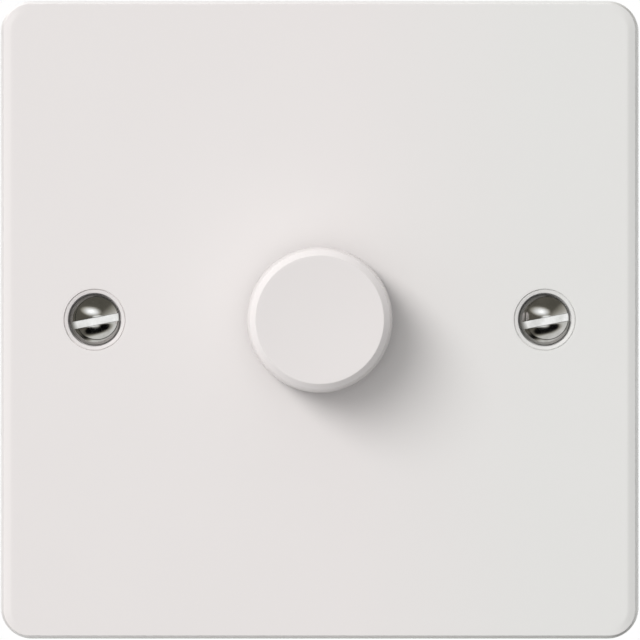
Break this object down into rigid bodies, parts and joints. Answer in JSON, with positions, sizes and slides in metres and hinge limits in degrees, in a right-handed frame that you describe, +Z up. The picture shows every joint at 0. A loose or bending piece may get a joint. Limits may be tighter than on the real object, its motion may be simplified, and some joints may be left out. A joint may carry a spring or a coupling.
{
  "type": "rotary dimmer switch",
  "caption": "White square wall plate with a round push-and-turn dimmer knob, two slotted fixing screws and the dimmer module behind it.",
  "frame": {"origin": "centre of the plate on the plane of the wall, where the plate's rear rim rests", "axes": "+X to the user's right, +Z up, +Y into the wall; the knob and the plate's face look along -Y"},
  "size_m": [0.086, 0.041, 0.086],
  "materials": {
    "white_urea": "gloss moulded urea",
    "knob_urea": "satin gloss moulded urea",
    "plated_steel": "bright nickel plate",
    "galvanised_steel": "zinc coated sheet",
    "zinc_casting": "die cast, tumbled",
    "spring_steel": "oiled spring steel",
    "brass": "machined",
    "bronze": "pressed strip",
    "aluminium": "mill finish",
    "laminate": "solder resist",
    "phenolic": "pressed laminate",
    "ferrite": "yellow coating",
    "copper_wire": "enamelled",
    "epoxy": "moulded epoxy",
    "capacitor_case": "moulded",
    "resistor_body": "lacquered",
    "diac_body": "lacquered",
    "fuse_glass": "clear glass and nickel caps",
    "black_nylon": "glass-filled moulding",
    "white_nylon": "moulded",
    "blue_plastic": "moulded"
  },
  "bodies": {
    "dimmer": {"front_plate": "white_urea", "screw_retainer_left": "white_nylon", "screw_retainer_right": "white_nylon", "mounting_yoke": "galvanised_steel", "lock_washer": "plated_steel", "bush_nut": "plated_steel", "pot_bush": "zinc_casting", "pot_housing": "blue_plastic", "resistance_track": "phenolic", "switch_housing": "black_nylon", "return_spring": "spring_steel", "rocker_pin": "spring_steel", "fixed_contact_1": "brass", "fixed_contact_2": "brass", "circuit_board": "laminate", "choke_core": "ferrite", "choke_winding": "copper_wire", "suppression_capacitor": "capacitor_case", "timing_capacitor": "capacitor_case", "triac": "epoxy", "triac_screw": "plated_steel", "heat_sink": "aluminium", "fuse": "fuse_glass", "fuse_clip_1": "bronze", "fuse_clip_2": "bronze", "resistor_1": "resistor_body", "resistor_2": "resistor_body", "diac": "diac_body", "terminal_block_1": "brass", "terminal_block_2": "brass", "terminal_block_3": "brass", "earth_block": "brass", "module_case": "black_nylon", "module_cover": "black_nylon", "cover_screw_1": "plated_steel", "cover_screw_2": "plated_steel", "cover_screw_3": "plated_steel", "cover_screw_4": "plated_steel"},
    "plunger": {"switch_plunger": "white_nylon"},
    "knob": {"knob": "knob_urea", "knob_clip": "spring_steel", "control_shaft": "aluminium", "shaft_circlip": "spring_steel"},
    "wiper": {"wiper_rotor": "white_nylon", "wiper_contact": "bronze"},
    "rocker": {"contact_rocker": "bronze"},
    "fixing_screw_left": {"fixing_screw_left": "plated_steel"},
    "fixing_screw_right": {"fixing_screw_right": "plated_steel"},
    "terminal_screw_1": {"terminal_screw_1": "plated_steel"},
    "terminal_screw_2": {"terminal_screw_2": "plated_steel"},
    "terminal_screw_3": {"terminal_screw_3": "plated_steel"},
    "earth_screw": {"earth_screw": "plated_steel"}
  },
  "joints": [
    {"name": "push", "type": "slide", "parent": "dimmer", "child": "plunger", "axis": [0, 1, 0], "range_m": [0, 0.0015], "stiffness_N_per_m": 1500, "springref_m": -0.002, "deforming": ["return_spring"]},
    {"name": "knob_turn", "type": "hinge", "parent": "plunger", "child": "knob", "pos_m": [0, 0, 0], "axis": [0, 1, 0], "range_deg": [-135, 135]},
    {"name": "wiper_turn", "type": "hinge", "parent": "dimmer", "child": "wiper", "pos_m": [0, 0, 0], "axis": [0, 1, 0], "range_deg": [-135, 135]},
    {"name": "rocker_tilt", "type": "hinge", "parent": "dimmer", "child": "rocker", "pos_m": [-0.0049, 0.0122, 0], "axis": [0, 0, 1], "range_deg": [0, 12]},
    {"name": "fixing_screw_left_slide", "type": "slide", "parent": "dimmer", "child": "fixing_screw_left", "axis": [0, -1, 0], "range_m": [0, 0.008]},
    {"name": "fixing_screw_right_slide", "type": "slide", "parent": "dimmer", "child": "fixing_screw_right", "axis": [0, -1, 0], "range_m": [0, 0.008]},
    {"name": "terminal_screw_1_slide", "type": "slide", "parent": "dimmer", "child": "terminal_screw_1", "axis": [0, 1, 0], "range_m": [-0.0024, 0.0012]},
    {"name": "terminal_screw_2_slide", "type": "slide", "parent": "dimmer", "child": "terminal_screw_2", "axis": [0, 1, 0], "range_m": [-0.0024, 0.0012]},
    {"name": "terminal_screw_3_slide", "type": "slide", "parent": "dimmer", "child": "terminal_screw_3", "axis": [0, 1, 0], "range_m": [-0.0024, 0.0012]},
    {"name": "earth_screw_slide", "type": "slide", "parent": "dimmer", "child": "earth_screw", "axis": [0, 1, 0], "range_m": [-0.002, 0.0012]}
  ],
  "couplings": [
    {"joint": "wiper_turn", "follows": "knob_turn", "ratio": 1}
  ]
}
